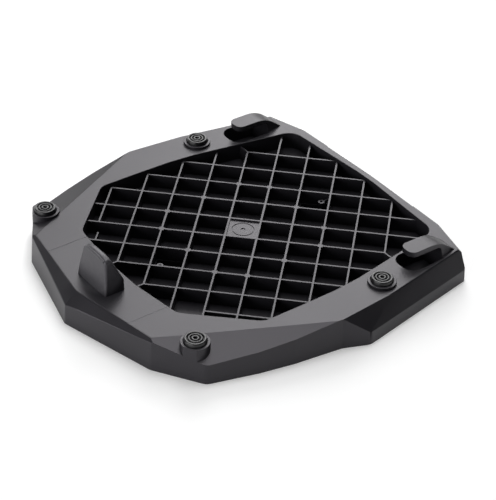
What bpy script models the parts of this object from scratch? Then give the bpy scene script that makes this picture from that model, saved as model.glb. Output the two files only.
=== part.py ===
import bpy
import bmesh
from math import atan2, ceil, cos, pi, radians, sin, sqrt, tan
from mathutils import Matrix, Vector

# Top case mounting plate of a motorbike: one moulded plate and four push-in rubber buffers.
# The sizes below are metres. X runs across the plate, +Y towards the two hooks, +Z up, and
# the origin lies on the ground at the middle of the plate. Left and right mirror each other.

mm = 0.001

# Heights above the ground
rim_top = 27.0 * mm             # flat top of the rim
rear_corner_top = 16.7 * mm     # where the sloping rear corners are lowest
nose_band_top = 17.4 * mm       # where the rear slopes start at the nose
side_band_top = 11.1 * mm       # where the front side slopes start
front_corner_top = 22.0 * mm    # where the sloping front corners are lowest
draft = 0.05                    # lean of the outer wall, sideways for each metre of height

# Foot of the outer wall, right half, seen from above
nose_y = -154.4 * mm
rear_corner_x = 85.0 * mm
rear_corner_y = -132.4 * mm
side_corner_x = 123.5 * mm
side_corner_y = -107.6 * mm
flank_x = 139.3 * mm
flank_y = -52.6 * mm
waist_x = 146.7 * mm
waist_y = 4.4 * mm
shoulder_x = 155.4 * mm
shoulder_y = 25.6 * mm
front_corner_x = 133.5 * mm
front_corner_setback = 11.2 * mm  # from the front edge
front_break_x = 89.0 * mm
front_break_setback = 2.4 * mm
front_y = 154.4 * mm
nose_radius = 6.0 * mm
corner_radius = 9.0 * mm
flank_radius = 200.0 * mm
front_radius = 2.2 * mm

# Sloping faces, measured in from the foot of the outer wall to the rim's edge
nose_slope_run = 10.9 * mm
side_slope_run = 8.4 * mm
side_slope_bend_y = 60.0 * mm   # behind this the slope's upper edge swings in to the waist
front_slope_run = 5.2 * mm
crease_inset_x = 3.1 * mm       # rear end of the rear corner's crease
crease_inset_y = 3.0 * mm
crease_end_inset_x = 2.2 * mm   # front end of that crease, from the waist
crease_end_inset_y = 4.4 * mm

# Walls
skin = 3.0 * mm                 # outer wall and rim
tray_wall = 2.2 * mm            # around the opening
rib_wall = 2.2 * mm             # stiffening ribs under the rim
rib_spacing = 26.0 * mm

# Opening in the rim, right half: the width of rim left beside it
rear_rim = 51.1 * mm            # at the nose
rear_bend = 8.4 * mm            # how far the rear edge swings forward at its ends
rear_edge_half = 67.0 * mm
side_rim = 26.7 * mm            # beside the flank
side_bend_y = -46.4 * mm
waist_bend_y = -10.6 * mm
hip_rim = 43.5 * mm             # beside the shoulder
hip_y = 35.4 * mm
front_rim = 6.8 * mm            # in the middle of the front
front_bend = 6.0 * mm           # how far the front edge swings back at its ends
front_edge_half = 93.3 * mm
opening_corner_radius = 13.0 * mm
opening_side_radius = 160.0 * mm

# Crossed ribs
pitch = 26.0 * mm
lattice_y = 17.4 * mm           # middle of the pattern
lattice_drop = 2.9 * mm         # rib tops below the rim
lattice_depth = 12.0 * mm       # rib tops above the floor between them
floor_thickness = 2.5 * mm
rib_width = 1.4 * mm
inner_rib_width = 1.6 * mm      # ribs inside the ring of studs
rib_end_step = 0.15 * mm        # a rib's end lies this far inside the rib that it meets
stud_width = 4.0 * mm
stub_length = 11.0 * mm
stub_width = 1.2 * mm
pad_drop = 1.3 * mm             # pad in the middle cell, below the rib tops
pad_wall = 2.5 * mm
pad_ring_radius = 9.4 * mm
pad_ring_width = 0.9 * mm
pad_ring_depth = 0.5 * mm
pad_dimple_radius = 2.0 * mm

# Screw wells, in two cells on the middle line
well_bottom = 2.5 * mm
well_width = 22.6 * mm
well_skin = 2.5 * mm
well_boss_offset = 8.5 * mm     # towards the outer corner of its cell
well_boss_radius = 2.7 * mm
well_hole_radius = 1.25 * mm
well_boss_drop = 4.4 * mm       # below the rib tops
well_web_width = 1.3 * mm

# Catch block on the rear rim
catch_setback = 34.1 * mm       # middle of its foot from the nose
catch_foot_width = 41.0 * mm
catch_foot_depth = 18.8 * mm
catch_head_width = 31.0 * mm
catch_head_depth = 5.5 * mm
catch_head_shift = 3.0 * mm     # head behind the middle of the foot
catch_height = 28.0 * mm        # at the ends of its head
catch_crown = 2.4 * mm          # the middle of the head above its ends
catch_crown_steps = 12
catch_lip_steps = 7             # shares no split with the block, so no faces meet flush
catch_plinth = 9.0 * mm         # upright lower part of its front face
catch_core_rise = 16.0 * mm     # hollow inside, above the rim
catch_round = 2.0 * mm
catch_lip = 0.9 * mm
catch_lip_height = 2.6 * mm
catch_lip_drop = 0.5 * mm       # below the top of the head
catch_lip_round = 0.8 * mm
catch_wall = 3.2 * mm

# Hooks
hook_inset_x = 18.6 * mm        # middle of the finger from the front corner
hook_setback = 16.1 * mm        # foot of its front slope from the front edge
hook_slope_run = 16.6 * mm
hook_length = 29.7 * mm         # flat top
hook_width = 15.6 * mm
hook_rise = 12.8 * mm           # above the rim
hook_thickness = 4.8 * mm
hook_nose_radius = 6.2 * mm
hook_round = 1.4 * mm
hook_crest_radius = 32.0 * mm   # where the flat top turns down
hook_throat_depth = 31.0 * mm   # gap below the finger, from its tip
hook_throat_radius = 3.2 * mm
root_flare = 3.4 * mm           # how far the root widens downwards at the throat
root_flare_end = 1.0 * mm       # and at its front end
root_sink = 2.0 * mm            # hook and catch block run into the rim
pocket_inner = 11.1 * mm        # sides of the pocket from the middle of the finger
pocket_outer = 14.5 * mm
pocket_taper = 2.8 * mm
pocket_ahead = 4.9 * mm         # pocket beyond the tip
pocket_radius = 10.0 * mm
pocket_skin = 2.5 * mm

# Rubber buffers and their seats
buffer_rear_inset_x = 17.8 * mm     # from the side corner
buffer_rear_inset_y = 1.9 * mm
buffer_front_inset_x = 30.7 * mm    # from the shoulder
buffer_front_inset_y = 34.5 * mm
seat_rise = 2.3 * mm            # above the rim
seat_radius = 11.6 * mm
seat_recess_depth = 1.0 * mm
seat_round = 0.4 * mm
seat_clearance = 0.5 * mm       # around the buffer
peg_core_wall = 3.2 * mm
peg_radius = 4.0 * mm
peg_length = 9.0 * mm
buffer_height = 3.8 * mm
buffer_radius = 9.2 * mm
buffer_top_radius = 8.6 * mm
buffer_round = 0.5 * mm
buffer_groove_depth = 0.9 * mm
buffer_groove_width = 1.6 * mm
buffer_hole_radius = 1.5 * mm
buffer_hole_depth = 3.0 * mm
buffer_inner_groove = 4.3 * mm
buffer_outer_groove = 7.0 * mm
fit_gap = 0.3 * mm

arc_step = radians(15.0)
turn_steps = 36
reach = 0.5                     # size of the blocks that cut the slopes
overshoot = 5.0 * mm            # how far a cutter runs past a face
bite = 0.6 * mm                 # how far joined shapes run into each other

# What follows from the sizes above
lattice_top = rim_top - lattice_drop
floor_top = lattice_top - lattice_depth
floor_bottom = floor_top - floor_thickness
seat_top = rim_top + seat_rise
seat_floor = seat_top - seat_recess_depth
recess_radius = buffer_radius + seat_clearance
well_offset = 2.0 * sqrt(2.0) * pitch
catch_y = nose_y + catch_setback
front_corner_y = front_y - front_corner_setback
front_break_y = front_y - front_break_setback
hook_x = front_corner_x - hook_inset_x
hook_foot_y = front_y - hook_setback
hook_flat_end_y = hook_foot_y - hook_slope_run
hook_tip_y = hook_flat_end_y - hook_length
hook_throat_y = hook_tip_y + hook_throat_depth
hook_top = rim_top + hook_rise
buffer_places = {
    "front": (shoulder_x - buffer_front_inset_x, shoulder_y + buffer_front_inset_y),
    "rear": (side_corner_x - buffer_rear_inset_x, side_corner_y + buffer_rear_inset_y),
}


def clear_scene():
    for item in list(bpy.data.objects):
        bpy.data.objects.remove(item, do_unlink=True)


def new_collection(name):
    collection = bpy.data.collections.new(name)
    bpy.context.scene.collection.children.link(collection)
    return collection


def new_material(name, colour, roughness):
    material = bpy.data.materials.new(name)
    material.use_nodes = True
    shader = material.node_tree.nodes["Principled BSDF"]
    shader.inputs["Base Color"].default_value = (*colour, 1.0)
    shader.inputs["Roughness"].default_value = roughness
    shader.inputs["Metallic"].default_value = 0.0
    return material


def add_object(name, mesh, collection, material=None):
    item = bpy.data.objects.new(name, mesh)
    collection.objects.link(item)
    if material:
        mesh.materials.append(material)
    return item


def add_helper(name, mesh):
    item = add_object(name, mesh, helpers)
    item.hide_render = True
    item.display_type = "WIRE"
    return item


def mesh_from(bm, name):
    bmesh.ops.recalc_face_normals(bm, faces=bm.faces[:])
    mesh = bpy.data.meshes.new(name)
    bm.to_mesh(mesh)
    bm.free()
    return mesh


# Outlines seen from above: corners are (x, y, radius)
def mirrored(half):
    """Close a right half, whose first and last corners lie on the middle line."""
    left = [(-x, y, radius) for x, y, radius in reversed(half[1:-1])]
    return half + left


def grown(corners, distance):
    """Move every side of an anticlockwise outline outwards, with its radii to match."""
    result = []
    count = len(corners)
    for index, (x, y, radius) in enumerate(corners):
        here = Vector((x, y))
        before = (here - Vector(corners[index - 1][:2])).normalized()
        after = (Vector(corners[(index + 1) % count][:2]) - here).normalized()
        out_before = Vector((before.y, -before.x))
        out_after = Vector((after.y, -after.x))
        miter = (out_before + out_after) / (1.0 + out_before.dot(out_after))
        turns_left = before.cross(after) > 0
        new_radius = radius + distance if turns_left else radius - distance
        moved = here + miter * distance
        result.append((moved.x, moved.y, max(new_radius, 0.2 * mm) if radius else 0.0))
    return result


def rounded(corners, step=arc_step):
    """Turn corners into points, with each corner's arc as short chords."""
    points = []
    count = len(corners)
    for index, (x, y, radius) in enumerate(corners):
        here = Vector((x, y))
        back = Vector(corners[index - 1][:2]) - here
        ahead = Vector(corners[(index + 1) % count][:2]) - here
        half_angle = back.angle(ahead) / 2
        turn = pi - 2 * half_angle
        if not radius or turn < 1e-4:
            points.append(here)
            continue
        room = 0.49 * min(back.length, ahead.length)
        run = min(radius / tan(half_angle), room)
        radius = run * tan(half_angle)
        centre = here + (back.normalized() + ahead.normalized()).normalized() * radius / sin(half_angle)
        start = here + back.normalized() * run - centre
        sweep = start.angle_signed(here + ahead.normalized() * run - centre)
        chords = max(1, ceil(abs(sweep) / step))
        for chord in range(chords + 1):
            spin = Matrix.Rotation(-sweep * chord / chords, 2)
            points.append(centre + spin @ start)
    return points


def prism_mesh(name, points, bottom, top, foot=None):
    """A flat outline given its thickness, as a closed mesh; a foot outline makes it lean."""
    curve = bpy.data.curves.new(name, "CURVE")
    curve.dimensions = "2D"
    curve.fill_mode = "BOTH"
    curve.extrude = (top - bottom) / 2
    spline = curve.splines.new("POLY")
    spline.points.add(len(points) - 1)
    for point, place in zip(spline.points, points):
        point.co = (place[0], place[1], 0.0, 1.0)
    spline.use_cyclic_u = True
    shape = bpy.data.objects.new(name, curve)
    helpers.objects.link(shape)
    bpy.context.view_layer.update()
    graph = bpy.context.evaluated_depsgraph_get()
    mesh = bpy.data.meshes.new_from_object(shape.evaluated_get(graph))
    bpy.data.objects.remove(shape, do_unlink=True)
    bm = bmesh.new()
    bm.from_mesh(mesh)
    bpy.data.meshes.remove(mesh)
    bmesh.ops.remove_doubles(bm, verts=bm.verts[:], dist=0.01 * mm)
    bmesh.ops.dissolve_limit(bm, angle_limit=radians(0.1), verts=bm.verts[:], edges=bm.edges[:])
    bmesh.ops.translate(bm, verts=bm.verts[:], vec=(0.0, 0.0, (top + bottom) / 2))
    for vertex in bm.verts:
        if foot and vertex.co.z < (top + bottom) / 2:
            nearest = min(range(len(points)), key=lambda index: (points[index] - vertex.co.xy).length)
            vertex.co.xy = foot[nearest]
    return mesh_from(bm, name)


def prism(name, corners, bottom, top):
    return add_helper(name, prism_mesh(name, rounded(corners), bottom, top))


def side_prism_mesh(name, points, width):
    """A side view, as points (y, z), given its width along X about the middle line."""
    mesh = prism_mesh(name, [Vector(point) for point in points], -width / 2, width / 2)
    mesh.transform(Matrix(((0, 0, 1, 0), (1, 0, 0, 0), (0, 1, 0, 0), (0, 0, 0, 1))))
    return mesh


def box_into(bm, centre, size, turn=0.0):
    place = Matrix.Translation(centre) @ Matrix.Rotation(turn, 4, "Z") @ Matrix.Diagonal((*size, 1.0))
    bmesh.ops.create_cube(bm, size=1.0, matrix=place)


def cylinder_into(bm, x, y, bottom, top, radius, steps=turn_steps):
    place = Matrix.Translation((x, y, (top + bottom) / 2))
    bmesh.ops.create_cone(bm, cap_ends=True, segments=steps, radius1=radius, radius2=radius,
                          depth=top - bottom, matrix=place)


def cylinders(name, places, bottom, top, radius, steps=turn_steps):
    bm = bmesh.new()
    for x, y in places:
        cylinder_into(bm, x, y, bottom, top, radius, steps)
    return add_helper(name, mesh_from(bm, name))


def boolean(target, tool, operation, solver="EXACT"):
    modifier = target.modifiers.new(tool.name, "BOOLEAN")
    modifier.operation = operation
    modifier.object = tool
    modifier.solver = solver


def round_edges(target, width, segments=2):
    modifier = target.modifiers.new("rounding", "BEVEL")
    modifier.width = width
    modifier.segments = segments
    modifier.limit_method = "ANGLE"
    modifier.angle_limit = radians(30.0)


def cut(target, *tools):
    for tool in tools:
        boolean(target, tool, "DIFFERENCE")


def join(target, *tools, solver="EXACT"):
    for tool in tools:
        boolean(target, tool, "UNION", solver)


def block_above(name, a, b, c):
    """A large block whose underside is the plane through three points."""
    normal = (b - a).cross(c - a).normalized()
    if normal.z < 0:
        normal = -normal
    turn = normal.to_track_quat("Z", "Y").to_matrix().to_4x4()
    centre = (a + b + c) / 3 + normal * reach / 2
    bm = bmesh.new()
    bmesh.ops.create_cube(bm, size=reach, matrix=Matrix.Translation(centre) @ turn)
    return add_helper(name, mesh_from(bm, name))


def sideways(point, side):
    return Vector((point[0] * side, point[1], point[2]))


# Shapes of the plate
def outer_corners():
    half = [
        (0.0, nose_y, nose_radius),
        (rear_corner_x, rear_corner_y, corner_radius),
        (side_corner_x, side_corner_y, corner_radius),
        (flank_x, flank_y, flank_radius),
        (waist_x, waist_y, corner_radius),
        (shoulder_x, shoulder_y, corner_radius),
        (front_corner_x, front_corner_y, front_radius),
        (front_break_x, front_break_y, corner_radius),
        (0.0, front_y, flank_radius),
    ]
    return mirrored(half)


def opening_corners():
    rear_y = nose_y + rear_rim
    ahead_y = front_y - front_rim
    side_x = flank_x - side_rim
    half = [
        (0.0, rear_y, opening_side_radius),
        (rear_edge_half, rear_y + rear_bend, opening_corner_radius),
        (side_x, side_bend_y, opening_corner_radius),
        (side_x, waist_bend_y, opening_side_radius),
        (shoulder_x - hip_rim, hip_y, opening_side_radius),
        (front_edge_half, ahead_y - front_bend, opening_corner_radius),
        (0.0, ahead_y, opening_side_radius),
    ]
    return mirrored(half)


def pocket_corners(side):
    rear = hook_tip_y - pocket_ahead
    corners = [
        (side * (hook_x - pocket_inner), rear, pocket_radius),
        (side * (hook_x + pocket_outer), rear, pocket_radius),
        (side * (hook_x + pocket_outer - pocket_taper), hook_throat_y, 0.0),
        (side * (hook_x - pocket_inner), hook_throat_y, 0.0),
    ]
    return corners if side > 0 else corners[::-1]


def slope_planes():
    """Three points on each sloping face of the right half."""
    crease_rear = (rear_corner_x - crease_inset_x, rear_corner_y + crease_inset_y, rim_top)
    crease_end = (waist_x - crease_end_inset_x, waist_y - crease_end_inset_y, rim_top)
    front_run = Vector((front_corner_x - front_break_x, front_corner_y - front_break_y)).normalized()
    front_in = Vector((front_run.y, -front_run.x)) * front_slope_run
    side_run = Vector((front_corner_x - shoulder_x, front_corner_y - shoulder_y)).normalized()
    side_in = Vector((-side_run.y, side_run.x))
    band_in = side_in * draft * side_band_top
    side_in = side_in * side_slope_run
    bend_reach = (side_slope_bend_y - shoulder_y - side_in.y) / side_run.y
    bend_x = shoulder_x + side_in.x + side_run.x * bend_reach
    return {
        "nose": [
            (0.0, nose_y + nose_slope_run, rim_top),
            crease_rear,
            (0.0, nose_y + draft * nose_band_top, nose_band_top),
        ],
        "rear_corner": [
            crease_rear,
            crease_end,
            (side_corner_x, side_corner_y, rear_corner_top),
        ],
        "side": [
            (shoulder_x + side_in.x, shoulder_y + side_in.y, rim_top),
            (front_corner_x + side_in.x, front_corner_y + side_in.y, rim_top),
            (front_corner_x + band_in.x, front_corner_y + band_in.y, side_band_top),
        ],
        "hip": [
            (waist_x - draft * rim_top, waist_y, rim_top),
            (bend_x, side_slope_bend_y, rim_top),
            (shoulder_x + band_in.x, shoulder_y + band_in.y, side_band_top),
        ],
        "front_corner": [
            (front_break_x, front_break_y - draft * rim_top, rim_top),
            (front_corner_x + front_in.x, front_corner_y + front_in.y, rim_top),
            (front_corner_x, front_corner_y, front_corner_top),
        ],
    }


def shaped_block(name, inset, bottom):
    """The plate's outer form without its opening, with every face moved in by an inset."""
    top = rim_top - inset
    foot = rounded(grown(outer_corners(), -inset - draft * bottom))
    head = rounded(grown(outer_corners(), -inset - draft * top))
    block = add_helper(name, prism_mesh(name, head, bottom, top, foot))
    for slope, points in slope_planes().items():
        for side in (-1, 1):
            a, b, c = [sideways(point, side) for point in points]
            normal = (b - a).cross(c - a).normalized()
            if normal.z < 0:
                normal = -normal
            shift = -normal * inset
            label = "%s_%s_slope_%s" % (name, slope, "right" if side > 0 else "left")
            cut(block, block_above(label, a + shift, b + shift, c + shift))
    return block


# Crossed ribs: lines run at 45 degrees, and their places are whole steps of the pitch. A stub
# is given by its row, its column and its direction in degrees.
half_turn = sqrt(0.5)
row_spans = {1: (5, 8), 2: (3, 9), 3: (2, 10), 4: (1, 12), 5: (0, 12), 6: (-1, 10),
             7: (0, 11), 8: (2, 9), 9: (3, 8), 10: (5, 7)}
inner_spans = {3: (5, 6), 4: (4, 7), 5: (3, 8), 6: (3, 8), 7: (4, 7), 8: (5, 6)}
middle_step = 11                # rows and columns count to ten, with the middle between 5 and 6
stub_steps = [(6, 10, 0.0), (1, 5, 180.0), (8, 2, -90.0), (9, 3, -90.0), (7, 1.1, 135.0)]
stud_steps = [(5, 3), (6, 3), (4, 4), (7, 4), (3, 5), (8, 5), (3, 6), (8, 6), (4, 7), (7, 7),
              (5, 8), (6, 8)]


def lattice_point(row, column):
    x = (row + column - middle_step) * half_turn * pitch
    y = (column - row) * half_turn * pitch + lattice_y
    return Vector((x, y))


def rib_run(bm, start, end, width, bottom, top):
    along = end - start
    centre = (start + end) / 2
    turn = atan2(along.y, along.x)
    size = (along.length, width, top - bottom)
    box_into(bm, (centre.x, centre.y, (top + bottom) / 2), size, turn)


def rib_set(name, spans, by_column, width, top):
    """All the parallel ribs of one direction; the columns mirror the rows."""
    bm = bmesh.new()
    for row, (first, last) in spans.items():
        if by_column:
            start = lattice_point(middle_step - first, middle_step - row)
            end = lattice_point(middle_step - last, middle_step - row)
        else:
            start = lattice_point(row, first)
            end = lattice_point(row, last)
        past = (end - start).normalized() * (width / 2 - rib_end_step)
        rib_run(bm, start - past, end + past, width, floor_top - bite, top)
    return add_helper(name, mesh_from(bm, name))


def lattice():
    """The crossed ribs with their studs and end stubs, kept inside the opening."""
    edge = prism("lattice_edge", grown(opening_corners(), bite), floor_top - 2 * bite, lattice_top + bite)
    ribs = rib_set("rib_rows", row_spans, False, rib_width, lattice_top)
    join(
        ribs,
        rib_set("rib_columns", row_spans, True, rib_width, lattice_top),
        rib_set("inner_rows", inner_spans, False, inner_rib_width, lattice_top),
        rib_set("inner_columns", inner_spans, True, inner_rib_width, lattice_top),
        solver="MANIFOLD",
    )
    bm = bmesh.new()
    for row, column in stud_steps:
        place = lattice_point(row, column)
        centre = (place.x, place.y, (lattice_top + floor_top - bite) / 2)
        box_into(bm, centre, (stud_width, stud_width, lattice_top - floor_top + bite), pi / 4)
    join(ribs, add_helper("studs", mesh_from(bm, "studs")), solver="MANIFOLD")
    bm = bmesh.new()
    for row, column, turn in stub_steps:
        start = lattice_point(row, column)
        end = start + Vector((cos(radians(turn)), sin(radians(turn)))) * stub_length
        rib_run(bm, start, end, stub_width, floor_top - bite, lattice_top)
    join(ribs, add_helper("stubs", mesh_from(bm, "stubs")), solver="MANIFOLD")
    boolean(ribs, edge, "INTERSECT", "MANIFOLD")
    join(ribs, middle_pad(), solver="MANIFOLD")
    return ribs


def diamonds(name, places, width, bottom, top):
    bm = bmesh.new()
    for x, y in places:
        box_into(bm, (x, y, (top + bottom) / 2), (width, width, top - bottom), pi / 4)
    return add_helper(name, mesh_from(bm, name))


def both_sides(x, y):
    return [(x, y), (-x, y)]


def underside():
    """What is taken away from below: the inner form, less all that stays inside it."""
    hollow = shaped_block("hollow", skin, -overshoot)
    depth = rim_top - floor_bottom
    middle = (rim_top + floor_bottom) / 2
    bm = bmesh.new()
    count = int((front_y - nose_y) / rib_spacing)
    for index in range(1, count + 1):
        box_into(bm, (0.0, nose_y + index * rib_spacing, middle), (2 * shoulder_x, rib_wall, depth))
    slabs = add_helper("cross_slabs", mesh_from(bm, "cross_slabs"))
    bm = bmesh.new()
    count = int(side_corner_x / rib_spacing)
    for index in range(-count, count + 1):
        centre = (index * rib_spacing, nose_y + rear_rim / 2, middle)
        box_into(bm, centre, (rib_wall, rear_rim + 2 * rear_bend, depth))
    long_slabs = add_helper("long_slabs", mesh_from(bm, "long_slabs"))
    core_bottom = seat_floor - peg_length - fit_gap - peg_core_wall
    cores = [place for x, y in buffer_places.values() for place in both_sides(x, y)]
    cut(
        hollow,
        prism("tray", grown(opening_corners(), tray_wall), floor_bottom, rim_top),
        slabs,
        long_slabs,
        cylinders("peg_cores", cores, core_bottom, rim_top, peg_radius + fit_gap + peg_core_wall),
        prism("pocket_case_right", grown(pocket_corners(1), pocket_skin), floor_bottom, rim_top),
        prism("pocket_case_left", grown(pocket_corners(-1), pocket_skin), floor_bottom, rim_top),
        diamonds("well_cases", well_places(), well_width + 2 * well_skin, well_bottom, floor_top - bite),
    )
    return hollow


def well_places():
    return [(0.0, lattice_y - well_offset), (0.0, lattice_y + well_offset)]


def add_wells(body):
    well_floor = well_bottom + floor_thickness
    cut(body, diamonds("wells", well_places(), well_width, well_floor, floor_top + bite))
    top = lattice_top - well_boss_drop
    bosses = []
    bm = bmesh.new()
    for side in (-1, 1):
        centre = lattice_y + side * well_offset
        boss = centre + side * well_boss_offset
        corner = centre + side * well_width * half_turn
        bosses.append((0.0, boss))
        rib_run(bm, Vector((0.0, boss)), Vector((0.0, corner)), well_web_width, well_floor - bite, top)
    webs = add_helper("well_webs", mesh_from(bm, "well_webs"))
    join(webs, cylinders("well_bosses", bosses, well_floor - bite, top, well_boss_radius, 24),
         solver="MANIFOLD")
    join(body, webs, solver="MANIFOLD")
    cut(body, cylinders("well_holes", bosses, well_floor + bite, top + overshoot, well_hole_radius, 16))


def pad_core():
    width = pitch - inner_rib_width - 2 * pad_wall
    top = lattice_top - pad_drop - pad_wall
    return diamonds("pad_core", [(0.0, lattice_y)], width, floor_bottom - overshoot, top)


def middle_pad():
    """The plain pad in the middle cell, with a ring and a dimple, hollow below."""
    top = lattice_top - pad_drop
    middle = [(0.0, lattice_y)]
    pad = diamonds("pad", middle, pitch - inner_rib_width / 2, floor_top - bite, top)
    ring = cylinders("pad_ring", middle, top - pad_ring_depth, top + bite, pad_ring_radius)
    inner_radius = pad_ring_radius - pad_ring_width
    cut(ring, cylinders("pad_ring_inside", middle, top - overshoot, top + overshoot, inner_radius))
    dimple = cylinders("pad_dimple", middle, top - pad_ring_depth, top + bite, pad_dimple_radius, 24)
    cut(pad, pad_core(), ring, dimple)
    return pad


def catch_section(height):
    """Rear and front of the catch block and half its width, at a height above the rim."""
    rise = min(max(height, 0.0), catch_height)
    share = rise / catch_height
    front_share = max(rise - catch_plinth, 0.0) / (catch_height - catch_plinth)
    rear_foot = catch_y - catch_foot_depth / 2
    front_foot = catch_y + catch_foot_depth / 2
    head_y = catch_y - catch_head_shift
    rear = rear_foot + share * (head_y - catch_head_depth / 2 - rear_foot)
    front = front_foot + front_share * (head_y + catch_head_depth / 2 - front_foot)
    half = (catch_foot_width + share * (catch_head_width - catch_foot_width)) / 2
    return rear, front, half


def catch_shape(name, heights, inset):
    rears = [(catch_section(height)[0] + inset, rim_top + height) for height in heights]
    fronts = [(catch_section(height)[1] - inset, rim_top + height) for height in heights]
    mesh = side_prism_mesh(name, rears[::-1] + fronts, catch_foot_width)
    for vertex in mesh.vertices:
        half = catch_section(vertex.co.z - rim_top)[2] - inset
        vertex.co.x = half if vertex.co.x > 0 else -half
    return add_helper(name, mesh)


def raise_crown(mesh, steps, above):
    """Splits a mesh across the plate and lifts its points above a height into a low arch."""
    half = catch_head_width / 2
    bm = bmesh.new()
    bm.from_mesh(mesh)
    for step in range(1, steps):
        x = half * (2 * step / steps - 1)
        whole = bm.verts[:] + bm.edges[:] + bm.faces[:]
        bmesh.ops.bisect_plane(bm, geom=whole, plane_co=(x, 0.0, 0.0), plane_no=(1.0, 0.0, 0.0))
    for vertex in bm.verts:
        if vertex.co.z > above:
            vertex.co.z += catch_crown * (1.0 - min(abs(vertex.co.x) / half, 1.0) ** 3)
    bm.to_mesh(mesh)
    bm.free()


def add_catch_block(body):
    block = catch_shape("catch_block", [-root_sink, catch_plinth, catch_height], 0.0)
    raise_crown(block.data, catch_crown_steps, rim_top + (catch_height + catch_plinth) / 2)
    round_edges(block, catch_round, 3)
    head_rear = catch_section(catch_height)[0]
    bm = bmesh.new()
    depth = catch_head_depth / 2 + catch_lip
    top = rim_top + catch_height - catch_lip_drop
    centre = (0.0, head_rear - catch_lip + depth / 2, top - catch_lip_height / 2)
    box_into(bm, centre, (catch_head_width - 2 * catch_round, depth, catch_lip_height))
    lip = add_helper("catch_lip", mesh_from(bm, "catch_lip"))
    raise_crown(lip.data, catch_lip_steps, rim_top)
    round_edges(lip, catch_lip_round)
    join(block, lip, solver="MANIFOLD")
    join(body, block, solver="MANIFOLD")
    below = floor_bottom - rim_top - bite
    cut(body, catch_shape("catch_core", [below, catch_plinth, catch_core_rise], catch_wall))


def slope_height(y):
    """Height of a hook's front slope."""
    return rim_top + hook_rise * (hook_foot_y - y) / hook_slope_run


def finger_profile():
    """Side view of a hook: its flat top, its front slope, and the arch over the gap."""
    under = hook_top - hook_thickness
    corners = [
        (hook_tip_y, under, 0.0),
        (hook_throat_y, under, hook_throat_radius),
        (hook_throat_y, rim_top - root_sink, 0.0),
        (hook_foot_y, rim_top - root_sink, 0.0),
        (hook_foot_y, rim_top, 0.0),
        (hook_flat_end_y, hook_top, hook_crest_radius),
        (hook_tip_y, hook_top, 0.0),
    ]
    return rounded(corners, arc_step / 2)


def root_wedge(name, side):
    """The root of a hook, widening from the finger down to the rim."""
    bm = bmesh.new()
    bmesh.ops.create_cube(bm, size=1.0)
    half = hook_width / 2
    for vertex in bm.verts:
        upper = vertex.co.z > 0
        ahead = vertex.co.y > 0
        sign = 1.0 if vertex.co.x > 0 else -1.0
        y = hook_foot_y - 2 * hook_round if ahead else hook_throat_y
        flare = root_flare_end if ahead else root_flare
        vertex.co.x = side * hook_x + sign * (half - hook_round if upper else half + flare)
        vertex.co.y = y
        vertex.co.z = slope_height(y) - hook_round if upper else rim_top - root_sink
    return add_helper(name, mesh_from(bm, name))


def add_hook(body, side):
    label = "right" if side > 0 else "left"
    finger = add_helper("finger_" + label, side_prism_mesh("finger", finger_profile(), hook_width))
    finger.data.transform(Matrix.Translation((side * hook_x, 0.0, 0.0)))
    half = hook_width / 2
    plan = [
        (side * hook_x - half, hook_tip_y, hook_nose_radius),
        (side * hook_x + half, hook_tip_y, hook_nose_radius),
        (side * hook_x + half, hook_foot_y + overshoot, 0.0),
        (side * hook_x - half, hook_foot_y + overshoot, 0.0),
    ]
    outline = prism("finger_plan_" + label, plan, rim_top - 2 * root_sink, hook_top + overshoot)
    boolean(finger, outline, "INTERSECT")
    round_edges(finger, hook_round)
    join(finger, root_wedge("root_" + label, side), solver="MANIFOLD")
    join(body, finger, solver="MANIFOLD")


def add_seats(body):
    """Raised rings on the rim for the buffers; those on the rear corners stand on the slope."""
    front = cylinders("front_seats", both_sides(*buffer_places["front"]), rim_top - skin, seat_top,
                      seat_radius)
    round_edges(front, seat_round)
    rear = cylinders("rear_seats", both_sides(*buffer_places["rear"]), rear_corner_top - skin, seat_top,
                     seat_radius)
    round_edges(rear, seat_round)
    bound = prism("seat_bound", grown(outer_corners(), -draft * rear_corner_top), 0.0, seat_top + overshoot)
    boolean(rear, bound, "INTERSECT")
    join(body, front, rear)


def add_peg_holes(body):
    places = [place for x, y in buffer_places.values() for place in both_sides(x, y)]
    cut(body, cylinders("recesses", places, seat_floor, seat_top + overshoot, recess_radius))
    bottom = seat_floor - peg_length - fit_gap
    cut(body, cylinders("peg_holes", places, bottom, seat_top, peg_radius + fit_gap, 24))


def buffer_profile():
    """Points (radius, height above the buffer's base) from the top, outwards and down."""
    top = buffer_height
    points = [(0.0, top - buffer_hole_depth), (buffer_hole_radius, top - buffer_hole_depth),
              (buffer_hole_radius, top)]
    for radius in (buffer_inner_groove, buffer_outer_groove):
        inner = radius - buffer_groove_width / 2
        outer = radius + buffer_groove_width / 2
        points += [(inner, top), (inner, top - buffer_groove_depth), (outer, top - buffer_groove_depth),
                   (outer, top)]
    points += [
        (buffer_top_radius - buffer_round, top),
        (buffer_top_radius, top - buffer_round),
        (buffer_radius, 0.0),
        (peg_radius, 0.0),
        (peg_radius, -peg_length + buffer_round),
        (peg_radius - buffer_round, -peg_length),
        (0.0, -peg_length),
    ]
    return points


def buffer_mesh():
    bm = bmesh.new()
    verts = [bm.verts.new((radius, 0.0, height)) for radius, height in buffer_profile()]
    for first, second in zip(verts, verts[1:]):
        bm.edges.new((first, second))
    mesh = bpy.data.meshes.new("rubber_buffer")
    bm.to_mesh(mesh)
    bm.free()
    return mesh


def add_buffer(name, mesh, x, y):
    item = add_object(name, mesh, plate_parts)
    item.location = (x, y, seat_floor + fit_gap)
    turn = item.modifiers.new("turned", "SCREW")
    turn.axis = "Z"
    turn.steps = turn_steps
    turn.render_steps = turn_steps
    turn.use_merge_vertices = True
    turn.merge_threshold = 0.00001
    turn.use_smooth_shade = True
    return item


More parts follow.
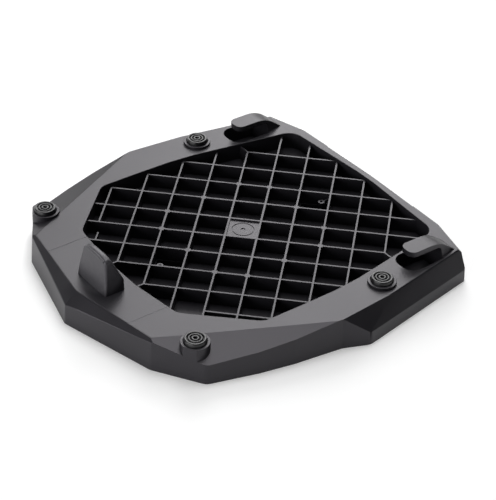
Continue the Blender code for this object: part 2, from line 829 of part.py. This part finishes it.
clear_scene()
plate_parts = new_collection("top_case_mounting_plate")
helpers = new_collection("construction_shapes")
grey_plastic = new_material("dark_grey_moulded_plastic", (0.045, 0.046, 0.049), 0.5)
black_rubber = new_material("black_rubber", (0.012, 0.012, 0.013), 0.7)

plate_body = shaped_block("plate_body", 0.0, 0.0)
helpers.objects.unlink(plate_body)
plate_parts.objects.link(plate_body)
plate_body.hide_render = False
plate_body.display_type = "TEXTURED"
plate_body.data.materials.append(grey_plastic)
add_seats(plate_body)
cut(plate_body, underside())
cut(plate_body, prism("opening", opening_corners(), floor_top, rim_top + overshoot))
cut(plate_body, pad_core())
add_peg_holes(plate_body)
cut(plate_body, prism("pocket_left", pocket_corners(-1), floor_top, rim_top + overshoot))
cut(plate_body, prism("pocket_right", pocket_corners(1), floor_top, rim_top + overshoot))
add_catch_block(plate_body)
add_wells(plate_body)
for side in (-1, 1):
    add_hook(plate_body, side)
join(plate_body, lattice(), solver="MANIFOLD")

rubber = buffer_mesh()
rubber.materials.append(black_rubber)
for end, (x, y) in buffer_places.items():
    add_buffer("rubber_buffer_%s_right" % end, rubber, x, y)
    add_buffer("rubber_buffer_%s_left" % end, rubber, -x, y)
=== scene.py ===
import math

import bmesh
import bpy
from mathutils import Matrix, Vector


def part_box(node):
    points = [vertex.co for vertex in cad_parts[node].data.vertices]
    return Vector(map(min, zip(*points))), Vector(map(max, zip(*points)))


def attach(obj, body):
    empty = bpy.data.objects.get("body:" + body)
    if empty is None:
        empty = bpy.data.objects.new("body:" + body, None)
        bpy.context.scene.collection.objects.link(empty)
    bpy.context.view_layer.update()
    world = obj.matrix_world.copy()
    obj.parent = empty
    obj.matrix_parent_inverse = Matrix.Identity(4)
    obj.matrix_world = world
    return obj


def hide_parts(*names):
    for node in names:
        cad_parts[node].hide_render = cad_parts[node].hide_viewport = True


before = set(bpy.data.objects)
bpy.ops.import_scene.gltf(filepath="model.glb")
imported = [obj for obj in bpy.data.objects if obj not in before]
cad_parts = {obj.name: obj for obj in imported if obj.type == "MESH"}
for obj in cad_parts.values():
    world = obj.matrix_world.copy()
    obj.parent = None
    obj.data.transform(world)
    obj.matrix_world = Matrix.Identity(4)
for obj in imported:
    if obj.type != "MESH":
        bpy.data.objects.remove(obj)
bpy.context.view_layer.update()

print("frame loaded:", ", ".join(sorted(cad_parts)))


# Small helpers that every piece uses.

def addObject(name, data):
    thing = bpy.data.objects.new(name, data)
    bpy.context.scene.collection.objects.link(thing)
    return thing


def bakedMesh(piece, name):
    # The evaluated mesh becomes the piece's own, and its modifiers go.
    bpy.context.view_layer.update()
    graph = bpy.context.evaluated_depsgraph_get()
    mesh = bpy.data.meshes.new_from_object(piece.evaluated_get(graph))
    mesh.name = name
    piece.modifiers.clear()
    piece.data = mesh
    return mesh


def addNode(tree, kind, place=(0, 0), **settings):
    node = tree.nodes.new(kind)
    node.location = place
    for key, value in settings.items():
        setattr(node, key, value)
    return node


def setInputs(node, **values):
    # Underscores in the names given stand for the spaces in the sockets' names.
    for name, value in values.items():
        node.inputs[name.replace("_", " ")].default_value = value
    return node


def addRange(tree, place, given=(0, 1), wanted=(0, 1)):
    # Turns the range given into the range wanted.
    return setInputs(
        addNode(tree, "ShaderNodeMapRange", place),
        From_Min=given[0], From_Max=given[1], To_Min=wanted[0], To_Max=wanted[1])


def addRamp(tree, place, spread, colours):
    ramp = addNode(tree, "ShaderNodeValToRGB", place)
    for element, position, colour in zip(ramp.color_ramp.elements, spread, colours):
        element.position = position
        element.color = (*colour, 1)
    return ramp


# Materials. Sizes in a look's dictionary are in metres, and scales are cells to a metre.

plasticLook = {
    "deep": (0.0086, 0.0083, 0.0102),   # the darker of the two tones in the pigment
    "pale": (0.0124, 0.0120, 0.0145),
    "cloudScale": 14,                   # soft clouds, about 70 mm across
    "cloudDetail": 4,
    "cloudSpread": (0.35, 0.68),        # where in the clouds the two tones lie
    "rough": (0.37, 0.43),
    "specular": 0.42,
    "tint": (0.97, 0.93, 1.0),          # of the highlights
    "grainScale": 1900,                 # moulded grain, about half a millimetre
    "grainHeight": 0.00005,
    "grainStrength": 0.25,
    "flowScale": 160,                   # the skin's faint ripple, about 6 mm
    "flowDetail": 2,
    "flowHeight": 0.00005,
    "flowStrength": 0.4,
    "paintedLight": (0.048, 0.047, 0.052),      # painted light: a paler tone that lifts the catch block, which the lamps leave too dark
    "paintedLightPlace": (0, -0.124, 0.043),    # middle of the catch block
    "paintedLightReach": (0.024, 0.016, 0.020),
    "paintedLightFade": (1.15, 0.95),           # the soft edge, as parts of the reach
    "lightBreakScale": 220,                  # fine breaks in the painted light patch, about 5 mm
    "lightBreakDetail": 5,
    "lightBreakSpread": (0.3, 0.7),
    "lightBreakLevel": (0.75, 1),
}

rubberLook = {
    "deep": (0.003, 0.003, 0.004),
    "pale": (0.008, 0.008, 0.009),
    "bloomScale": 180,                  # dull bloom on the rubber, about 6 mm across
    "bloomDetail": 5,
    "bloomSpread": (0.38, 0.7),
    "rough": (0.30, 0.38),
    "specular": 0.5,
    "grainScale": 2600,
    "grainHeight": 0.00003,
    "grainStrength": 0.3,
}


def newMaterial(name):
    material = bpy.data.materials.new(name)
    material.use_nodes = True
    tree = material.node_tree
    return material, tree, tree.nodes["Principled BSDF"]


def addTones(tree, shader, texture, spread, look):
    # One texture leads the two tones and the gloss.
    tone = addRamp(tree, (-700, 200), spread, (look["deep"], look["pale"]))
    gloss = addRange(tree, (-700, -60), wanted=look["rough"])
    tree.links.new(texture.outputs["Fac"], tone.inputs["Fac"])
    tree.links.new(texture.outputs["Fac"], gloss.inputs["Value"])
    tree.links.new(gloss.outputs["Result"], shader.inputs["Roughness"])
    return tone


def paintedLightMask(tree, place, look):
    # Painted light: a soft-edged paler patch round the catch block, broken up by fine noise.
    centre = addNode(tree, "ShaderNodeMapping", (-1000, 520))
    for axis, (middle, reach) in enumerate(zip(look["paintedLightPlace"], look["paintedLightReach"])):
        centre.inputs["Location"].default_value[axis] = -middle / reach
        centre.inputs["Scale"].default_value[axis] = 1 / reach
    ball = addNode(tree, "ShaderNodeVectorMath", (-800, 520), operation="LENGTH")
    fade = addRange(tree, (-600, 520), given=look["paintedLightFade"])
    lightBreaks = setInputs(
        addNode(tree, "ShaderNodeTexNoise", (-800, 720)),
        Scale=look["lightBreakScale"], Detail=look["lightBreakDetail"])
    level = addRange(tree, (-600, 720), look["lightBreakSpread"], look["lightBreakLevel"])
    patch = addNode(tree, "ShaderNodeMath", (-400, 520), operation="MULTIPLY")
    links = tree.links
    links.new(place.outputs["Object"], centre.inputs["Vector"])
    links.new(centre.outputs["Vector"], ball.inputs[0])
    links.new(ball.outputs["Value"], fade.inputs["Value"])
    links.new(place.outputs["Object"], lightBreaks.inputs["Vector"])
    links.new(lightBreaks.outputs["Fac"], level.inputs["Value"])
    links.new(fade.outputs["Result"], patch.inputs[0])
    links.new(level.outputs["Result"], patch.inputs[1])
    return patch.outputs["Value"]


def makePlastic(look):
    material, tree, shader = newMaterial("grainedPlastic")
    links = tree.links
    place = addNode(tree, "ShaderNodeTexCoord", (-1300, 0))
    clouds = setInputs(
        addNode(tree, "ShaderNodeTexNoise", (-1000, 200)),
        Scale=look["cloudScale"], Detail=look["cloudDetail"])
    grain = setInputs(
        addNode(tree, "ShaderNodeTexVoronoi", (-1000, -300)), Scale=look["grainScale"])
    pebbles = setInputs(
        addNode(tree, "ShaderNodeBump", (-400, -300)),
        Strength=look["grainStrength"], Distance=look["grainHeight"])
    flow = setInputs(
        addNode(tree, "ShaderNodeTexNoise", (-1000, -600)),
        Scale=look["flowScale"], Detail=look["flowDetail"])
    ripple = setInputs(
        addNode(tree, "ShaderNodeBump", (-400, -600)),
        Strength=look["flowStrength"], Distance=look["flowHeight"])
    for texture in (clouds, grain, flow):
        links.new(place.outputs["Object"], texture.inputs["Vector"])
    tone = addTones(tree, shader, clouds, look["cloudSpread"], look)
    # Painted light: the paler tone is mixed over the catch block through the mask.
    paintedLightMix = addNode(tree, "ShaderNodeMix", (-300, 200), data_type="RGBA")
    paintedLightMix.inputs["B"].default_value = (*look["paintedLight"], 1)
    links.new(paintedLightMask(tree, place, look), paintedLightMix.inputs["Factor"])
    links.new(tone.outputs["Color"], paintedLightMix.inputs["A"])
    links.new(paintedLightMix.outputs["Result"], shader.inputs["Base Color"])
    links.new(grain.outputs["Distance"], pebbles.inputs["Height"])
    links.new(flow.outputs["Fac"], ripple.inputs["Height"])
    links.new(ripple.outputs["Normal"], pebbles.inputs["Normal"])
    links.new(pebbles.outputs["Normal"], shader.inputs["Normal"])
    shader.inputs["Specular IOR Level"].default_value = look["specular"]
    shader.inputs["Specular Tint"].default_value = (*look["tint"], 1)
    return material


def makeRubber(look):
    material, tree, shader = newMaterial("mattRubber")
    links = tree.links
    place = addNode(tree, "ShaderNodeTexCoord", (-1300, 0))
    bloom = setInputs(
        addNode(tree, "ShaderNodeTexNoise", (-1000, 200)),
        Scale=look["bloomScale"], Detail=look["bloomDetail"])
    grain = setInputs(
        addNode(tree, "ShaderNodeTexNoise", (-1000, -300)), Scale=look["grainScale"])
    bump = setInputs(
        addNode(tree, "ShaderNodeBump", (-400, -300)),
        Strength=look["grainStrength"], Distance=look["grainHeight"])
    for texture in (bloom, grain):
        links.new(place.outputs["Object"], texture.inputs["Vector"])
    tone = addTones(tree, shader, bloom, look["bloomSpread"], look)
    links.new(tone.outputs["Color"], shader.inputs["Base Color"])
    links.new(grain.outputs["Fac"], bump.inputs["Height"])
    links.new(bump.outputs["Normal"], shader.inputs["Normal"])
    shader.inputs["Specular IOR Level"].default_value = look["specular"]
    return material


plastic = makePlastic(plasticLook)
rubber = makeRubber(rubberLook)
print("materials made")


# The moulding: a copy of the solid with its sharp edges broken, as a mould leaves them.

moulding = {
    "mergeWithin": 0.00002,
    "cutWithin": 0.000001,
    "flankRadius": 0.0010,
    "rimRadius": 0.0006,        # where an upright wall meets the rim
    "segments": 3,
    # Degrees
    "flatWithin": 0.6,          # faces that make one flat
    "sharpOver": 20,            # edges that are broken
    "creaseOver": 38,           # what always shades as an edge
    # Edges that are too small to break, and the least area that shades as a flat
    "leastLength": 0.0004,
    "leastArea": 0.00002,
    "facetArea": 0.00009,
    # Levels and places
    "footLevel": 0.0005,        # the edge that stands on the floor stays sharp
    "rimLevel": (0.0262, 0.0278),
    "rimTop": 0.027,
    "levelWithin": 0.0001,
    "tray": (0.112, 0.100),     # half its width, half its length
    "tightSpots": ((0.0895, 0.151), (0.1455, 0.0044)),  # narrow facets on the outline
    "tightReach": 0.005,
    # How far a face's normal rises: 0 is upright, 1 is level
    "wallUnder": 0.03,
    "undercutUnder": -0.01,
    "slopeUnder": 0.9,
    "topOver": 0.99,
    # The side slopes beside the front pair of buffers
    "hipX": 0.125,
    "hipRise": (0.2, 0.8),
    "hipTurn": 0.6,
    # The rear slopes, where they meet at the nose
    "noseHalf": 0.014,
    "noseBehind": -0.140,
    "noseTop": -0.130,
    "noseRise": (0.2, 0.95),
    # The catch block's front face
    "blockFrom": -0.100,
    "blockFacing": 0.5,
    # The hairline creases on the rim
    "seamX": 0.057,
    "seamHalf": 0.00035,
    "seamDepth": 0.00014,
    "seamBehind": -0.0985,
    "seamEnd": -0.134,
    "seamWithin": 0.00001,
}


def looksOut(face, place):
    # Whether a face at that place is turned away from the plate's middle.
    return face.normal.x * place.x + face.normal.y * place.y > 0


def nearTightSpot(edge, sizes):
    return any(
        math.hypot(abs(vert.co.x) - spot[0], vert.co.y - spot[1]) < sizes["tightReach"]
        for vert in edge.verts for spot in sizes["tightSpots"])


def edgeRadius(edge, sizes):
    # How round an edge is moulded: the outer flanks most, the opening less, the ribs not.
    faces = edge.link_faces
    if len(faces) != 2 or edge.calc_length() < sizes["leastLength"]:
        return 0
    if edge.calc_face_angle_signed() < math.radians(sizes["sharpOver"]):
        return 0
    if sum(face.calc_area() for face in faces) < sizes["leastArea"]:
        return 0
    low, high = sorted(vert.co.z for vert in edge.verts)
    if low < sizes["footLevel"] or high > sizes["rimLevel"][1] or nearTightSpot(edge, sizes):
        return 0
    if low > sizes["rimLevel"][0]:
        upright = min(abs(face.normal.z) for face in faces) < sizes["wallUnder"]
        return sizes["rimRadius"] if upright else sizes["flankRadius"]
    middle = (edge.verts[0].co + edge.verts[1].co) / 2
    onFlank = all(
        face.normal.z > sizes["undercutUnder"] and face.calc_area() > sizes["facetArea"]
        and looksOut(face, middle) for face in faces)
    return sizes["flankRadius"] if onFlank else 0


def inFlank(edge, sizes):
    # The rim and the outer flanks, clear of the tray.
    if min(vert.co.z for vert in edge.verts) > sizes["rimLevel"][0]:
        return True
    halfWidth, halfLength = sizes["tray"]
    reach = min(
        max(abs(vert.co.x) / halfWidth, abs(vert.co.y) / halfLength) for vert in edge.verts)
    outside = any(
        abs(face.normal.z) < sizes["slopeUnder"] and looksOut(face, face.verts[0].co)
        for face in edge.link_faces)
    return reach > 1 and outside


def isRearSlope(face, sizes):
    low, high = sizes["noseRise"]
    return low < face.normal.z < high and face.normal.y < 0


def inNose(face, sizes):
    # The two rear slopes run into each other round the nose without a hard ridge.
    middle = face.calc_center_median()
    atNose = abs(middle.x) < sizes["noseHalf"] and middle.y < sizes["noseBehind"]
    return atNose and isRearSlope(face, sizes)


def inSeam(face, sizes):
    middle = face.calc_center_median()
    offset = abs(abs(middle.x) - sizes["seamX"])
    onRim = middle.y < sizes["seamBehind"] and middle.z > sizes["rimLevel"][0]
    return offset < sizes["seamHalf"] and onRim


def onHip(face, sizes):
    middle = face.calc_center_median()
    low, high = sizes["hipRise"]
    beside = abs(middle.x) > sizes["hipX"] and middle.y > 0
    slanting = low < face.normal.z < high and abs(face.normal.y) < sizes["hipTurn"]
    return beside and slanting and face.normal.x * middle.x > 0


def onBlockFront(face, sizes):
    # The catch block's front is slightly hollow across, so it shades as one soft face.
    middle = face.calc_center_median()
    onBlock = middle.z > sizes["rimLevel"][1] and middle.y < sizes["blockFrom"]
    return onBlock and face.normal.y > sizes["blockFacing"]


def cutAt(shape, parts, across, sizes):
    # Cuts the parts along the plane at one place across, and gives them and what is new.
    cut = bmesh.ops.bisect_plane(
        shape, geom=parts, dist=sizes["cutWithin"], plane_co=(across, 0, 0), plane_no=(1, 0, 0))
    return cut["geom"]


def withParts(faces):
    # The faces with their edges and points, each once and in a fixed order.
    return list(dict.fromkeys(
        item for face in faces for item in (face, *face.edges, *face.verts)))


def cutSeams(shape, sizes):
    # The lines of the two hairline creases, beside the catch block.
    for side in (-1, 1):
        for offset in (-sizes["seamHalf"], 0, sizes["seamHalf"]):
            rim = [face for face in shape.faces if face.normal.z > sizes["topOver"]
                   and face.calc_center_median().z > sizes["rimTop"] - sizes["levelWithin"]]
            cutAt(shape, withParts(rim), side * sizes["seamX"] + offset, sizes)


def cutNose(shape, sizes):
    # Both sides of the nose, so that what is between them can blend.
    parts = withParts([face for face in shape.faces if isRearSlope(face, sizes)
                       and face.calc_center_median().y < sizes["noseTop"]])
    for side in (-1, 1):
        parts = cutAt(shape, parts, side * sizes["noseHalf"], sizes)


def sinkSeams(shape, sizes):
    for vert in shape.verts:
        onLine = abs(abs(vert.co.x) - sizes["seamX"]) < sizes["seamWithin"]
        onRim = abs(vert.co.z - sizes["rimTop"]) < sizes["levelWithin"]
        if onLine and onRim and sizes["seamEnd"] < vert.co.y < sizes["seamBehind"]:
            vert.co.z -= sizes["seamDepth"]


def measureFlats(shape, sizes):
    # The area of the whole flat that each face belongs to, kept in a face layer.
    flat = math.radians(sizes["flatWithin"])
    layer = shape.faces.layers.float.new("flatArea")
    seen = set()
    for first in shape.faces:
        if first in seen:
            continue
        seen.add(first)
        flatFaces = [first]
        for face in flatFaces:      # it grows while it is walked
            for edge in face.edges:
                for other in edge.link_faces:
                    if other not in seen and other.normal.angle(first.normal, math.pi) < flat:
                        seen.add(other)
                        flatFaces.append(other)
        area = sum(face.calc_area() for face in flatFaces)
        for face in flatFaces:
            face[layer] = area
    return layer


def isLarge(face, layer, sizes):
    soft = inNose(face, sizes) or onBlockFront(face, sizes)
    return face[layer] > sizes["facetArea"] and not soft


def hipNormal(corner, layer, sizes):
    # Each side slope swings in to the waist as one bent surface.
    if not onHip(corner.face, sizes):
        return None
    total = sum((face.normal for face in corner.vert.link_faces
                 if onHip(face, sizes) and isLarge(face, layer, sizes)), Vector())
    return total.normalized() if total.length > 0 else None


def cornerNormal(corner, layer, sizes):
    # Large faces keep their own normal; the small ones of a rounding blend between them.
    face = corner.face
    if isLarge(face, layer, sizes) or inSeam(face, sizes):
        return hipNormal(corner, layer, sizes) or face.normal.copy()
    blend = math.cos(math.radians(sizes["creaseOver"]))
    near = [other for other in corner.vert.link_faces if other.normal.dot(face.normal) > blend]
    large = [other for other in near if isLarge(other, layer, sizes)]
    if large:
        return max(large, key=lambda other: other.normal.dot(face.normal)).normal.copy()
    return sum((other.normal * other.calc_area() for other in near), Vector()).normalized()


def shadeFacets(mesh, sizes):
    shape = bmesh.new()
    shape.from_mesh(mesh)
    shape.normal_update()
    layer = measureFlats(shape, sizes)
    normals = [cornerNormal(corner, layer, sizes) for face in shape.faces for corner in face.loops]
    shape.free()
    mesh.normals_split_custom_set(normals)


def makeMoulding(sizes):
    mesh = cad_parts["plate_body"].data.copy()
    shape = bmesh.new()
    shape.from_mesh(mesh)
    bmesh.ops.remove_doubles(shape, verts=shape.verts, dist=sizes["mergeWithin"])
    # Flat faces are joined round the rim and flanks only; the lattice keeps its triangles.
    flank = [edge for edge in shape.edges if inFlank(edge, sizes)]
    bmesh.ops.dissolve_limit(
        shape, angle_limit=math.radians(sizes["flatWithin"]), verts=[], edges=flank)
    shape.normal_update()
    cutSeams(shape, sizes)
    cutNose(shape, sizes)
    sinkSeams(shape, sizes)
    weight = shape.edges.layers.float.new("bevel_weight_edge")
    for edge in shape.edges:
        edge[weight] = edgeRadius(edge, sizes) / sizes["flankRadius"]
    print("moulding: %d edges rounded" % sum(1 for edge in shape.edges if edge[weight] > 0))
    for face in shape.faces:
        face.smooth = True
    shape.to_mesh(mesh)
    shape.free()
    mesh.materials.clear()
    mesh.materials.append(plastic)
    plate = addObject("mouldedPlate", mesh)
    rounding = plate.modifiers.new("rounding", "BEVEL")
    rounding.limit_method = "WEIGHT"
    rounding.width = sizes["flankRadius"]
    rounding.segments = sizes["segments"]
    rounding.use_clamp_overlap = False
    rounding.miter_outer = "MITER_ARC"
    mesh = bakedMesh(plate, "mouldedPlate")
    shadeFacets(mesh, sizes)
    mesh.calc_loop_triangles()
    print("moulding: %d points, %d triangles" % (len(mesh.vertices), len(mesh.loop_triangles)))
    return plate


plate = makeMoulding(moulding)
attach(plate, "root")
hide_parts("plate_body")


# The four rubber buffers: one turned section, set on its seats by Geometry Nodes.

bufferSizes = {
    "holeRadius": 0.0014,       # at the bottom; the top is a little wider
    "holeDepth": 0.0030,
    "lands": ((0.00145, 0.0032), (0.0041, 0.0057), (0.0066, 0.0086)),   # inner, outer radius
    "landRise": 0.0016,         # of the rings above the grooves
    "landCurve": 0.22,          # 1 is a round land, less is squarer
    "wallTop": 0.0087,
    "wallDrop": 0.5,            # how far down the last land the wall starts
    "bodyHeight": 0.0038,
    "bodyRound": 0.0004,
    "pegRadius": 0.0040,
    "pegRound": 0.0005,
    "arcSteps": 8,
    "turns": 72,
    "closeWithin": 0.000005,
    "pivot": 0.02,              # radius of the circle that the section is swept along
}


def bufferSection(sizes, radius, depth):
    # Points (radius, height below the top) from the hole in the middle, outwards and down.
    points = [(0, -sizes["holeDepth"]), (sizes["holeRadius"], -sizes["holeDepth"])]
    for inner, outer in sizes["lands"]:
        for step in range(sizes["arcSteps"] + 1):
            turn = math.pi * step / sizes["arcSteps"]
            rise = max(math.sin(turn), 0) ** sizes["landCurve"]
            across = (inner + outer) / 2 - (outer - inner) / 2 * math.cos(turn)
            points.append((across, -sizes["landRise"] * (1 - rise)))
    points[-1] = (sizes["wallTop"], -sizes["landRise"] * sizes["wallDrop"])
    body, peg, soft = sizes["bodyHeight"], sizes["pegRadius"], sizes["pegRound"]
    points += [(radius, -body + sizes["bodyRound"]), (radius, -body), (peg, -body)]
    points += [(peg, -depth + soft), (peg - soft, -depth), (0, -depth)]
    return points


def turnedTree(name, sizes):
    tree = bpy.data.node_groups.new(name, "GeometryNodeTree")
    panel = tree.interface
    panel.new_socket("Section", in_out="INPUT", socket_type="NodeSocketGeometry")
    sockets = {}
    for label, kind in (("Turns", "Int"), ("Pivot", "Float"), ("Rear place", "Vector"),
                        ("Front place", "Vector"), ("Rubber", "Material")):
        socket = panel.new_socket(label, in_out="INPUT", socket_type="NodeSocket" + kind)
        sockets[label] = socket.identifier
    panel.new_socket("Buffers", in_out="OUTPUT", socket_type="NodeSocketGeometry")
    given = addNode(tree, "NodeGroupInput", (-1400, 0))
    result = addNode(tree, "NodeGroupOutput", (1200, 0))
    links = tree.links

    # The section is swept along a circle and closed into one skin.
    section = addNode(tree, "GeometryNodeMeshToCurve", (-1100, -200))
    circle = addNode(tree, "GeometryNodeCurvePrimitiveCircle", (-1100, 100))
    sweep = addNode(tree, "GeometryNodeCurveToMesh", (-800, 0))
    closed = setInputs(
        addNode(tree, "GeometryNodeMergeByDistance", (-600, 0)), Distance=sizes["closeWithin"])
    links.new(given.outputs["Section"], section.inputs["Mesh"])
    links.new(given.outputs["Turns"], circle.inputs["Resolution"])
    links.new(given.outputs["Pivot"], circle.inputs["Radius"])
    links.new(circle.outputs["Curve"], sweep.inputs["Curve"])
    links.new(section.outputs["Curve"], sweep.inputs["Profile Curve"])
    links.new(sweep.outputs["Mesh"], closed.inputs["Geometry"])

    # Four points: the two places given for the right side, and their mirror places.
    # Point 0 is rear left, 1 rear right, 2 front left and 3 front right.
    points = setInputs(addNode(tree, "GeometryNodePoints", (-200, 300)), Count=4)
    index = addNode(tree, "GeometryNodeInputIndex", (-1100, 500))
    odd = addNode(tree, "ShaderNodeMath", (-900, 600), operation="MODULO")
    odd.inputs[1].default_value = 2
    side = addNode(tree, "ShaderNodeMath", (-700, 600), operation="MULTIPLY_ADD")
    side.inputs[1].default_value = 2
    side.inputs[2].default_value = -1
    ahead = addNode(
        tree, "FunctionNodeCompare", (-900, 400), data_type="INT", operation="GREATER_THAN")
    ahead.inputs["B"].default_value = 1
    pick = addNode(tree, "GeometryNodeSwitch", (-700, 350), input_type="VECTOR")
    mirror = setInputs(addNode(tree, "ShaderNodeCombineXYZ", (-500, 600)), Y=1, Z=1)
    spot = addNode(tree, "ShaderNodeVectorMath", (-400, 450), operation="MULTIPLY")
    links.new(index.outputs["Index"], odd.inputs[0])
    links.new(odd.outputs["Value"], side.inputs[0])
    links.new(side.outputs["Value"], mirror.inputs["X"])
    links.new(index.outputs["Index"], ahead.inputs["A"])
    links.new(ahead.outputs["Result"], pick.inputs["Switch"])
    links.new(given.outputs["Rear place"], pick.inputs["False"])
    links.new(given.outputs["Front place"], pick.inputs["True"])
    links.new(pick.outputs["Output"], spot.inputs[0])
    links.new(mirror.outputs["Vector"], spot.inputs[1])
    links.new(spot.outputs["Vector"], points.inputs["Position"])

    placed = addNode(tree, "GeometryNodeInstanceOnPoints", (100, 0))
    real = addNode(tree, "GeometryNodeRealizeInstances", (350, 0))
    smooth = addNode(tree, "GeometryNodeSetShadeSmooth", (600, 0))
    coat = addNode(tree, "GeometryNodeSetMaterial", (850, 0))
    links.new(points.outputs["Points"], placed.inputs["Points"])
    links.new(closed.outputs["Geometry"], placed.inputs["Instance"])
    links.new(placed.outputs["Instances"], real.inputs["Geometry"])
    links.new(real.outputs["Geometry"], smooth.inputs["Geometry"])
    links.new(smooth.outputs["Geometry"], coat.inputs["Geometry"])
    links.new(given.outputs["Rubber"], coat.inputs["Material"])
    links.new(coat.outputs["Geometry"], result.inputs["Buffers"])
    return tree, sockets


def topMiddle(node):
    low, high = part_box(node)
    return (low[0] + high[0]) / 2, (low[1] + high[1]) / 2, high[2]


def makeBuffers(sizes):
    low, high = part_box("rubber_buffer_rear_right")
    section = bufferSection(sizes, (high[0] - low[0]) / 2, high[2] - low[2])
    mesh = bpy.data.meshes.new("bufferSection")
    points = [(across - sizes["pivot"], -height, 0) for across, height in section]
    mesh.from_pydata(points, [(step, step + 1) for step in range(len(points) - 1)], [])
    buffers = addObject("ringedBuffers", mesh)
    tree, sockets = turnedTree("turnedBuffers", sizes)
    turned = buffers.modifiers.new("turned", "NODES")
    turned.node_group = tree
    turned[sockets["Turns"]] = sizes["turns"]
    turned[sockets["Pivot"]] = sizes["pivot"]
    turned[sockets["Rear place"]] = topMiddle("rubber_buffer_rear_right")
    turned[sockets["Front place"]] = topMiddle("rubber_buffer_front_right")
    turned[sockets["Rubber"]] = rubber
    mesh = bakedMesh(buffers, "ringedBuffers")
    shape = bmesh.new()
    shape.from_mesh(mesh)
    bmesh.ops.recalc_face_normals(shape, faces=shape.faces)
    shape.to_mesh(mesh)
    openEdges = sum(1 for edge in shape.edges if len(edge.link_faces) != 2)
    shape.free()
    print("buffers: %d faces, %d open edges" % (len(mesh.polygons), openEdges))
    return buffers


buffers = makeBuffers(bufferSizes)
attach(buffers, "root")
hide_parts(*[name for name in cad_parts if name.startswith("rubber_buffer")])


# Floor, light and camera

studio = {
    "floorSize": 6.0,
    "floorTones": ((0.89, 0.89, 0.89), (0.9, 0.9, 0.9)),
    "floorScale": 3,
    "floorSpread": (0.3, 0.7),
    "floorRough": 0.8,
    "floorSpecular": 0.1,
    "floorGlow": 0.17,
    "airTone": 0.95,            # what the camera sees behind the floor
    "airLevel": 0.02,           # what lights the plate from there
    "lampDistance": 2.4,
    "lampWidth": 1.2,
}

lamps = [
    # name, degrees round from straight behind the plate as the camera sees it, degrees up, watts
    ("backSoftbox", -4, 36, 17.9),
    ("backRightSoftbox", 12, 28, 14.7),
    ("leftPanel", -40, 12, 12.7),
    ("highBackSoftbox", 0, 60, 8.5),
    ("overheadRight", 32, 74, 12.5),
    ("overhead", 0, 89.9, 16.4),
    ("frontLeftPanel", -115, 12, 22.7),
    ("frontFill", -145, 10, 22.3),
]

view = {
    "place": (0.9941, -0.7551, 0.8805),     # metres
    "azimuth": 51.915,
    "elevation": 34.907,
    "roll": 2.286,
    "lens": 134.45,
    "sensor": 36,
    "shift": (-0.0009, 0.0010),
}


def makeFloor(sizes):
    half = sizes["floorSize"] / 2
    mesh = bpy.data.meshes.new("floor")
    corners = [(-half, -half, 0), (half, -half, 0), (half, half, 0), (-half, half, 0)]
    mesh.from_pydata(corners, [], [(0, 1, 2, 3)])
    floor = addObject("floor", mesh)
    material, tree, shader = newMaterial("paleFloor")
    place = addNode(tree, "ShaderNodeTexCoord", (-900, 0))
    mottle = setInputs(
        addNode(tree, "ShaderNodeTexNoise", (-700, 0)), Scale=sizes["floorScale"])
    tone = addRamp(tree, (-400, 0), sizes["floorSpread"], sizes["floorTones"])
    tree.links.new(place.outputs["Object"], mottle.inputs["Vector"])
    tree.links.new(mottle.outputs["Fac"], tone.inputs["Fac"])
    tree.links.new(tone.outputs["Color"], shader.inputs["Base Color"])
    setInputs(
        shader, Roughness=sizes["floorRough"], Specular_IOR_Level=sizes["floorSpecular"],
        Emission_Color=(1, 1, 1, 1), Emission_Strength=sizes["floorGlow"])
    mesh.materials.append(material)


def makeLamps(rows, sizes, azimuth):
    behind = math.radians(90 + azimuth)
    for name, around, height, watts in rows:
        data = bpy.data.lights.new(name, "AREA")
        data.shape = "SQUARE"
        data.size = sizes["lampWidth"]
        data.energy = watts
        lamp = addObject(name, data)
        turn = behind - math.radians(around)
        lift = math.radians(height)
        towards = Vector((
            math.cos(turn) * math.cos(lift),
            math.sin(turn) * math.cos(lift),
            math.sin(lift)))
        place = Matrix.Translation(towards * sizes["lampDistance"])
        lamp.matrix_world = place @ towards.to_track_quat("Z", "Y").to_matrix().to_4x4()
        lamp.visible_camera = False


def makeWorld(sizes):
    world = bpy.data.worlds.new("studioAir")
    world.use_nodes = True
    tree = world.node_tree
    shade = tree.nodes["Background"]
    seen = addNode(tree, "ShaderNodeLightPath", (-600, 0))
    level = addRange(tree, (-300, 0), wanted=(sizes["airLevel"], sizes["airTone"]))
    shade.inputs["Color"].default_value = (1, 1, 1, 1)
    tree.links.new(seen.outputs["Is Camera Ray"], level.inputs["Value"])
    tree.links.new(level.outputs["Result"], shade.inputs["Strength"])
    bpy.context.scene.world = world


def makeCamera(sizes):
    azimuth = math.radians(sizes["azimuth"])
    elevation = math.radians(sizes["elevation"])
    roll = math.radians(sizes["roll"])
    back = Vector((
        math.sin(azimuth) * math.cos(elevation),
        -math.cos(azimuth) * math.cos(elevation),
        math.sin(elevation)))
    right = Vector((0, 0, 1)).cross(back).normalized()
    up = back.cross(right)
    rightTurned = right * math.cos(roll) + up * math.sin(roll)
    upTurned = up * math.cos(roll) - right * math.sin(roll)
    turn = Matrix((rightTurned, upTurned, back)).transposed().to_4x4()
    data = bpy.data.cameras.new("camera")
    data.lens = sizes["lens"]
    data.sensor_width = sizes["sensor"]
    data.sensor_fit = "AUTO"
    data.shift_x, data.shift_y = sizes["shift"]
    camera = addObject("camera", data)
    camera.matrix_world = Matrix.Translation(sizes["place"]) @ turn
    bpy.context.scene.camera = camera


makeFloor(studio)
makeLamps(lamps, studio, view["azimuth"])
makeWorld(studio)
makeCamera(view)
bpy.context.scene.view_settings.view_transform = "Standard"
print("studio set")
